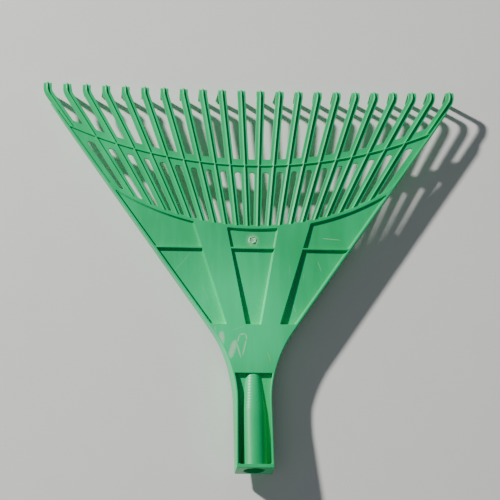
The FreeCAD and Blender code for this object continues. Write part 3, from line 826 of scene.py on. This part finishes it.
def socket_web():
    """Flat web each side of the tube, at its mid height at the mouth and higher at the neck."""
    knee, start = MOUTH_Y + TUBE_STRAIGHT, MOUTH_Y + END_WALL - 0.6
    middle = -SOCKET_DEPTH / 2

    def place(x, y, z):
        return from_socket(x, y, z + WEB_RISE * (y - start) / (NECK_END_Y - start))

    webs = []
    for sign in (-1, 1):
        outline = [(sign * x, y) for x, y in
                   ((TUBE_RADIUS - 1.6, start), (MOUTH_HALF_WIDTH, start),
                    (SOCKET_HALF_WIDTH + 0.1, MOUTH_Y + 85), (SOCKET_HALF_WIDTH + 1.2, NECK_END_Y - 16),
                    (SOCKET_HALF_WIDTH + 2.6, NECK_END_Y - 3), (SOCKET_HALF_WIDTH + 3.4, NECK_END_Y + 1),
                    (NOSE_RADIUS - 2.4, NECK_END_Y + 1), (TUBE_RADIUS - 2.6, knee))]
        webs.append(plate("web", [outline], middle - PLATE / 2, middle + PLATE / 2,
                          place=place, edge=0.3))
    webs = join("socket_side_webs", webs)
    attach(webs, "head")
    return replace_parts(webs, "socket_web")


def bulkhead():
    """Upright plate under the neck's end, behind the tube's nose."""
    half = SOCKET_HALF_WIDTH + 3.0
    outline = [(-half, -SOCKET_DEPTH + 0.4), (half, -SOCKET_DEPTH + 0.4), (half, -1.2), (-half, -1.2)]
    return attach(plate("neck_bulkhead", [outline], NECK_END_Y + 0.5, NECK_END_Y + 0.5 + PLATE,
                         place=lambda x, z, y: row(x, y, z), edge=0.3), "head")


# ---- material

# the light green serves both the plastic's random tone and the painted sheen round the neck
LIGHT_GREEN = (0.0060, 0.840, 0.310, 1)
DEEP_GREEN = (0.0008, 0.470, 0.142, 1)
# centre of the painted sheen, a pool of reflected light painted into the base colour round the neck
SHEEN_CENTRE = (-24, 88)
PALE_MARK = (0.42, 0.80, 0.50, 1)
YELLOW_MARK = (0.38, 0.72, 0.10, 1)


class Graph:
    """A short way to add and link a material's nodes."""

    def __init__(self, name):
        self.material = bpy.data.materials.new(name)
        self.material.use_nodes = True
        self.tree = self.material.node_tree
        self.shader = self.tree.nodes["Principled BSDF"]
        self.place = self.add("ShaderNodeTexCoord").outputs["Object"]

    def add(self, kind, **settings):
        node = self.tree.nodes.new(kind)
        for key, value in settings.items():
            setattr(node, key, value)
        return node

    def feed(self, socket, value):
        if isinstance(value, bpy.types.NodeSocket):
            self.tree.links.new(value, socket)
        else:
            socket.default_value = value

    def math(self, operation, a, b=0.0, clamp=False):
        node = self.add("ShaderNodeMath", operation=operation, use_clamp=clamp)
        self.feed(node.inputs[0], a)
        self.feed(node.inputs[1], b)
        return node.outputs[0]

    def noise(self, scale, detail=3.0, stretch=(1, 1, 1), roughness=0.55):
        node = self.add("ShaderNodeTexNoise")
        mapping = self.add("ShaderNodeMapping")
        mapping.inputs["Scale"].default_value = stretch
        self.feed(mapping.inputs["Vector"], self.place)
        self.feed(node.inputs["Vector"], mapping.outputs[0])
        node.inputs["Scale"].default_value = scale
        node.inputs["Detail"].default_value = detail
        node.inputs["Roughness"].default_value = roughness
        return node.outputs["Fac"]

    def ramp(self, value, low, high, to_low=0.0, to_high=1.0):
        node = self.add("ShaderNodeMapRange", interpolation_type="SMOOTHSTEP")
        for socket, given in zip(node.inputs, (value, low, high, to_low, to_high)):
            self.feed(socket, given)
        return node.outputs[0]

    def mix(self, share, a, b):
        node = self.add("ShaderNodeMix", data_type="RGBA")
        self.feed(node.inputs["Factor"], share)
        self.feed(node.inputs["A"], a)
        self.feed(node.inputs["B"], b)
        return node.outputs["Result"]

    def stroke(self, start, end, width, strength):
        """Mask of one straight scuff between two fan points, ragged at its edges."""
        a, b = row(*start, 0), row(*end, 0)
        middle, angle = (a + b) / 2, math.atan2(b.y - a.y, b.x - a.x)
        mapping = self.add("ShaderNodeMapping", vector_type="TEXTURE")
        mapping.inputs["Location"].default_value = (middle.x, middle.y, 0)
        mapping.inputs["Rotation"].default_value = (0, 0, angle)
        mapping.inputs["Scale"].default_value = ((b - a).length / 2, width / 2000, 1)
        self.feed(mapping.inputs["Vector"], self.place)
        split = self.add("ShaderNodeSeparateXYZ")
        self.feed(split.inputs[0], mapping.outputs[0])
        x2 = self.math("POWER", self.math("ABSOLUTE", split.outputs[0]), 4.0)
        y2 = self.math("POWER", self.math("ABSOLUTE", split.outputs[1]), 2.0)
        ragged = self.math("MULTIPLY", self.noise(420, 4.0), 0.9)
        distance = self.math("ADD", self.math("ADD", x2, y2), ragged)
        return self.ramp(distance, 1.5, 0.45, 0.0, strength)


# Scuffs on the flush face and in the pockets: start and end in fan millimetres, width, strength.
WHITE_SCUFFS = (((-38.5, 71), (-37.5, 53), 8.0, 0.9), ((-21, 61), (-29, 36), 8.5, 0.85),
                ((-21, 59), (-15, 37), 2.6, 0.8), ((-19, 57), (-17, 66), 2.2, 0.8),
                ((-17.5, 66), (-9.5, 67.5), 2.4, 0.8), ((-9, 67), (-8.2, 60), 2.2, 0.85),
                ((-8.4, 61), (-13.5, 40), 2.2, 0.8), ((-27, 71), (-9, 77), 0.9, 0.4),
                ((-46, 77), (-45, 66), 3.2, 0.3), ((84, 188), (110, 186), 1.4, 0.45),
                ((79, 161), (84, 145), 1.5, 0.3), ((48.5, 105), (52, 95), 1.4, 0.3),
                ((-97, 141), (-73, 170), 0.8, 0.3), ((-62, 130), (-52, 105), 0.7, 0.25))
YELLOW_SCUFFS = (((16.5, 46), (20.5, 32), 1.5, 0.55),)


def plastic(name, scuffed=False, gate=False):
    """Satin green polypropylene with faint flow marks, fine texture, handling wear and a painted sheen
    round the neck.
    """
    g = Graph(name)
    cloudy = g.noise(9.0, 3.0)
    flow = g.noise(70.0, 4.0, stretch=(1.0, 0.16, 1.0))
    speck = g.noise(900.0, 2.0)
    # painted sheen: the colour is made paler round the neck and the lower left of the plate, a pool of
    # reflected light painted into the base colour
    near = g.add("ShaderNodeVectorMath", operation="DISTANCE")
    g.feed(near.inputs[0], g.place)
    near.inputs[1].default_value = row(*SHEEN_CENTRE, 0)
    painted_sheen = g.ramp(near.outputs["Value"], 0.118, 0.030, 0.0, 0.64)
    share = g.math("ADD", g.math("MULTIPLY", g.ramp(cloudy, 0.32, 0.68), 0.16),
                   g.math("MULTIPLY", g.ramp(flow, 0.35, 0.7), 0.16))
    share = g.math("ADD", share, painted_sheen, clamp=True)
    colour = g.mix(share, DEEP_GREEN, LIGHT_GREEN)
    rough = g.math("ADD", 0.27, g.math("MULTIPLY", flow, 0.14))
    rough = g.math("ADD", rough, g.math("MULTIPLY", speck, 0.05))
    # fine dull scratches that run every way, thin and faint
    lines = g.ramp(g.noise(38.0, 5.0, stretch=(7.0, 0.7, 1.0), roughness=0.62), 0.66, 0.74, 0.0, 0.16)
    colour = g.mix(lines, colour, PALE_MARK)
    if scuffed:
        total = g.stroke(*WHITE_SCUFFS[0])
        for scuff in WHITE_SCUFFS[1:]:
            total = g.math("MAXIMUM", total, g.stroke(*scuff))
        colour = g.mix(total, colour, PALE_MARK)
        for scuff in YELLOW_SCUFFS:
            colour = g.mix(g.stroke(*scuff), colour, YELLOW_MARK)
        rough = g.math("ADD", rough, g.math("MULTIPLY", total, 0.2))
    if scuffed or gate:
        reach = g.add("ShaderNodeVectorMath", operation="DISTANCE")
        g.feed(reach.inputs[0], g.place)
        reach.inputs[1].default_value = row(0, GATE_Y, pocket_floor(GATE_Y))
        torn = g.math("MULTIPLY", g.ramp(reach.outputs["Value"], 0.0105, 0.003),
                      g.ramp(g.noise(330.0, 5.0), 0.36, 0.66, 0.15, 0.95 if gate else 0.5))
        colour = g.mix(torn, colour, (0.62, 0.86, 0.62, 1))
    g.feed(g.shader.inputs["Base Color"], colour)
    g.feed(g.shader.inputs["Roughness"], rough)
    g.shader.inputs["IOR"].default_value = 1.49
    g.shader.inputs["Subsurface Weight"].default_value = 0.0
    height = g.math("ADD", g.math("MULTIPLY", speck, 0.4), g.math("MULTIPLY", flow, 1.4))
    bump = g.add("ShaderNodeBump")
    bump.inputs["Strength"].default_value = 0.22
    bump.inputs["Distance"].default_value = 0.0003
    g.feed(bump.inputs["Height"], height)
    g.feed(g.shader.inputs["Normal"], bump.outputs[0])
    return g.material


def floor_material():
    g = Graph("pale_studio_floor")
    grain = g.noise(14.0, 4.0)
    g.feed(g.shader.inputs["Base Color"], g.mix(grain, (0.84, 0.83, 0.81, 1), (0.89, 0.88, 0.86, 1)))
    g.shader.inputs["Roughness"].default_value = 0.85
    return g.material


def paint(piece, material):
    piece.data.materials.clear()
    piece.data.materials.append(material)


# ---- build

tine_plastic = plastic("green_plastic_tines")
plate_plastic = plastic("green_plastic_plate", scuffed=True)
gate_plastic = plastic("green_plastic_gate", gate=True)
socket_plastic = plastic("green_plastic_socket")

right_pocket, centre_pocket, left_pocket = pocket_outlines()
paint(neck_and_straps([right_pocket, centre_pocket, left_pocket]), plate_plastic)
paint(pocket_tray("panel_tray_left", left_pocket, "panel_left"), plate_plastic)
paint(pocket_tray("panel_tray_centre", centre_pocket, "panel_centre"), plate_plastic)
paint(pocket_tray("panel_tray_right", right_pocket, "panel_right"), plate_plastic)
paint(cross_rib_set(), plate_plastic)
paint(gate_mark(), gate_plastic)
paint(fan_sheet(), tine_plastic)
paint(crossbar_rib(), tine_plastic)
for number in range(1, TINES + 1):
    paint(root_rib(number), tine_plastic)
    paint(tine(number), tine_plastic)
paint(side_wall("left", -1), tine_plastic)
paint(side_wall("right", 1), tine_plastic)
for build in (socket_tube, socket_end_wall, corner_gussets, socket_web, bulkhead):
    paint(build(), socket_plastic)


# ---- stage, light and camera: metres, watts

FLOOR_HALF = 3.0
KEY_DIRECTION = Vector((-0.700, 0.500, 0.515)).normalized()
KEY_DISTANCE = 5.0
KEY_WIDTH = 0.3
KEY_POWER = 390
FILL_DIRECTION = Vector((-0.25, -0.5, 1.0))
FILL_DISTANCE = 2.8
FILL_WIDTH = 2.2
FILL_POWER = 4.5
LOOK_AT = Vector((0, 0.26, 0))

floor_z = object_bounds()[0][2] - 0.0005
corners = [(FLOOR_HALF * x, FLOOR_HALF * y, floor_z) for x, y in ((-1, -1), (1, -1), (1, 1), (-1, 1))]
floor_mesh = bpy.data.meshes.new("studio_floor")
floor_mesh.from_pydata(corners, [], [(0, 1, 2, 3)])
floor = bpy.data.objects.new("studio_floor", floor_mesh)
bpy.context.scene.collection.objects.link(floor)
floor_mesh.materials.append(floor_material())


def area_light(name, direction, distance, size, power, colour=(1, 1, 1)):
    light = bpy.data.lights.new(name, "AREA")
    light.shape = "DISK"
    light.size = size
    light.energy = power
    light.color = colour
    lamp = bpy.data.objects.new(name, light)
    lamp.location = LOOK_AT + direction.normalized() * distance
    lamp.rotation_euler = direction.to_track_quat("Z", "Y").to_euler()
    bpy.context.scene.collection.objects.link(lamp)


area_light("key", KEY_DIRECTION, KEY_DISTANCE, KEY_WIDTH, KEY_POWER, (1.0, 0.985, 0.95))
area_light("top_fill", FILL_DIRECTION, FILL_DISTANCE, FILL_WIDTH, FILL_POWER, (0.96, 0.98, 1.0))

world = bpy.data.worlds.new("studio_air")
world.use_nodes = True
world.node_tree.nodes["Background"].inputs["Color"].default_value = (0.80, 0.90, 1.0, 1)
world.node_tree.nodes["Background"].inputs["Strength"].default_value = 0.11
bpy.context.scene.world = world

LENS_MM = 108.0
SENSOR_MM = 36.0
camera_data = bpy.data.cameras.new("camera")
camera_data.lens = LENS_MM
camera_data.sensor_width = SENSOR_MM
camera_data.clip_end = 20
camera = bpy.data.objects.new("camera", camera_data)
camera.location = (-0.1635, -0.2318, 1.7394)
camera.rotation_mode = "ZYX"
camera.rotation_euler = (math.radians(16.0), math.radians(-5.07), math.radians(0.946))
bpy.context.scene.collection.objects.link(camera)
bpy.context.scene.camera = camera
